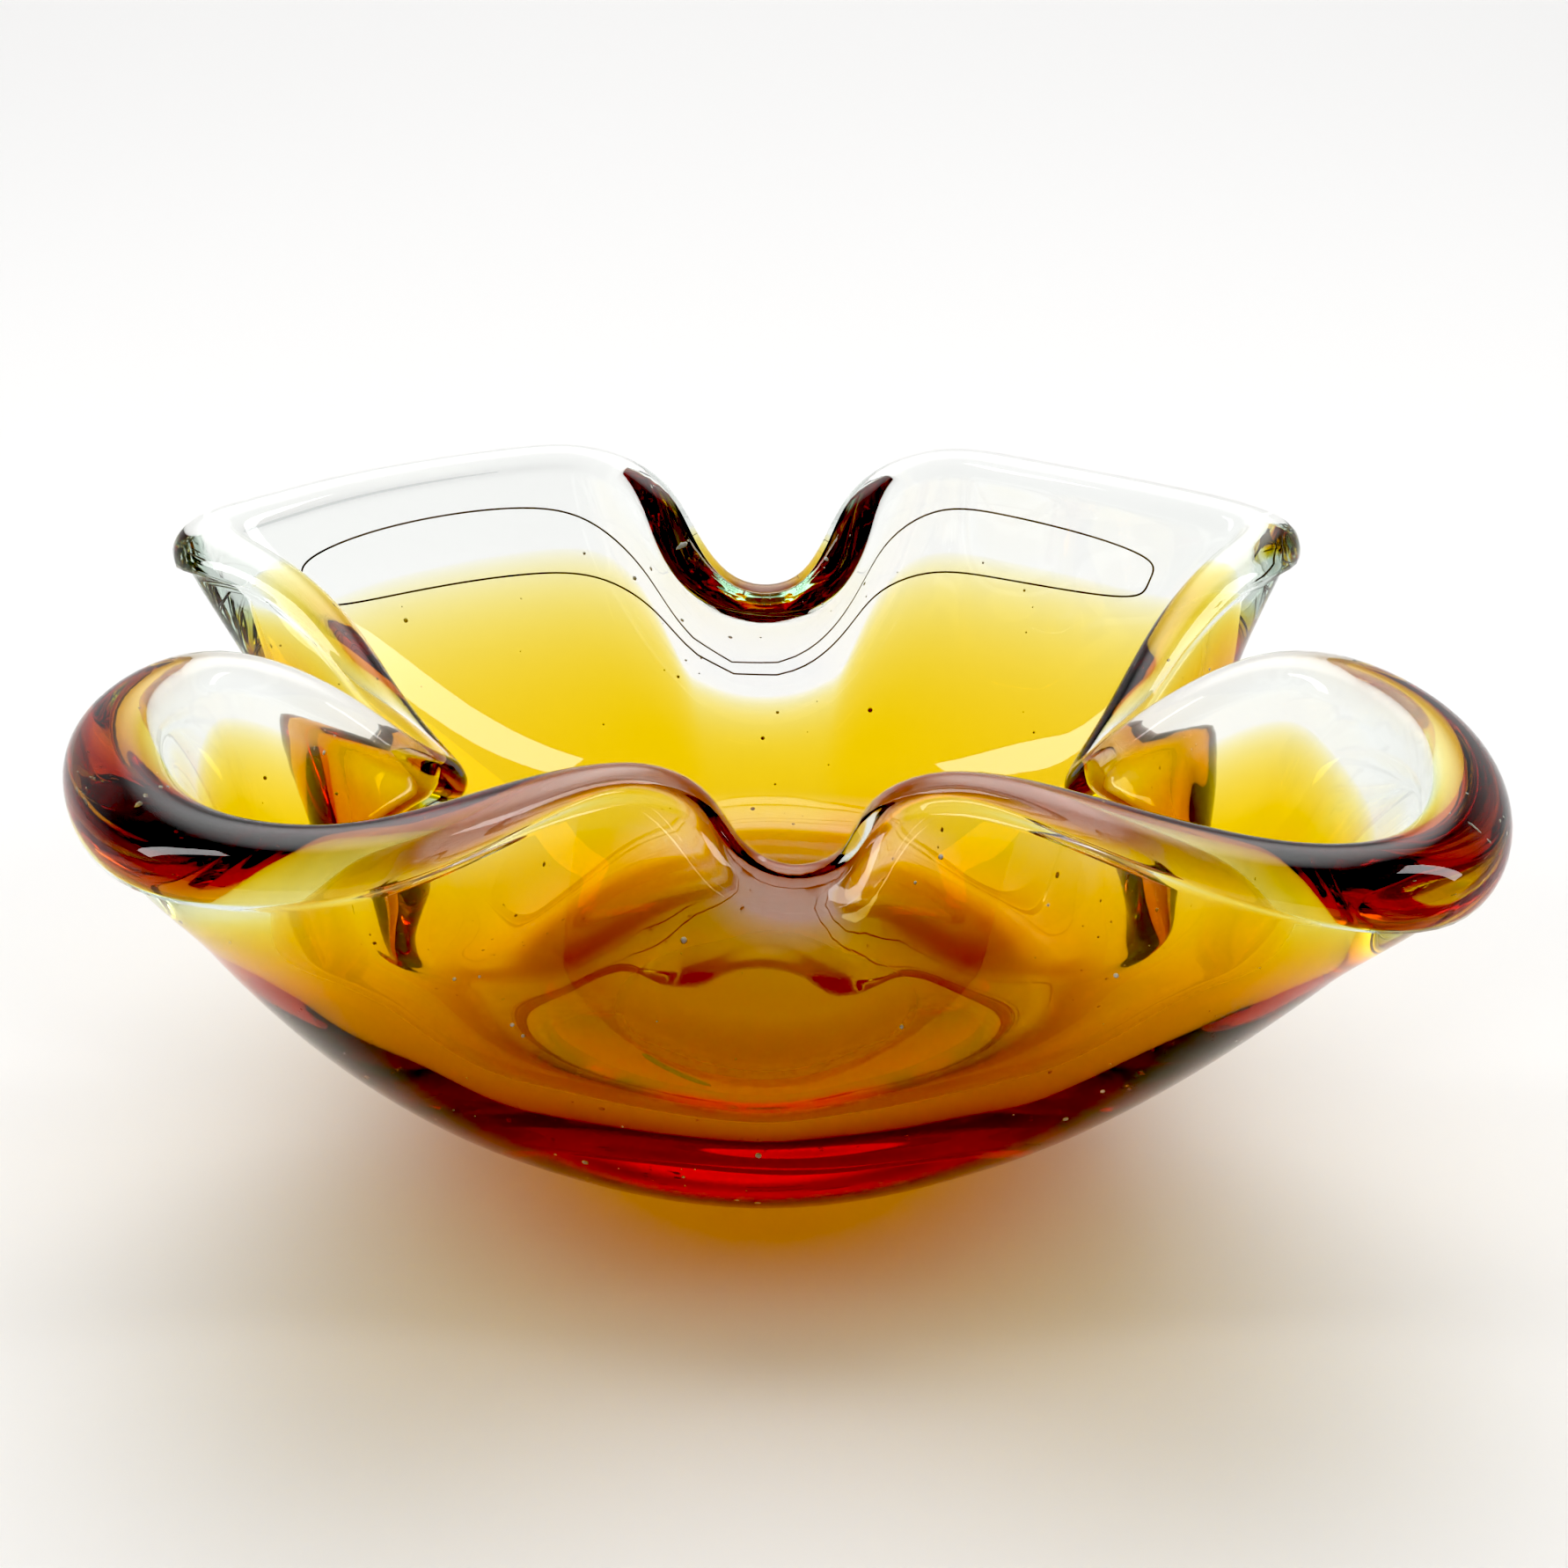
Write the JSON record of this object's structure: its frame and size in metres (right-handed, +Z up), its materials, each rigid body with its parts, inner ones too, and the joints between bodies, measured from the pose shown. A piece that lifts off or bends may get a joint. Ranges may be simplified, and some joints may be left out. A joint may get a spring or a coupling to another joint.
{
  "type": "pinched art glass bowl",
  "caption": "Thick-walled cased glass bowl with an open lobed body, pinched wavy rim and small flat foot, for holding fruit, sweets or small things.",
  "frame": {"origin": "middle of the small ground flat that the bowl stands on", "axes": "+Z up, +X along the longer width, +Y from the front pinch toward the back pinch"},
  "size_m": [0.2306, 0.1927, 0.0973],
  "materials": {
    "clear_glass": "fire polished, clear with a faint grey green tint, small seed bubbles",
    "amber_glass": "sunken colour, yellow where thin and red brown where thick"
  },
  "bodies": {
    "root": {"clear_casing": "clear_glass", "amber_layer": "amber_glass"}
  },
  "joints": []
}
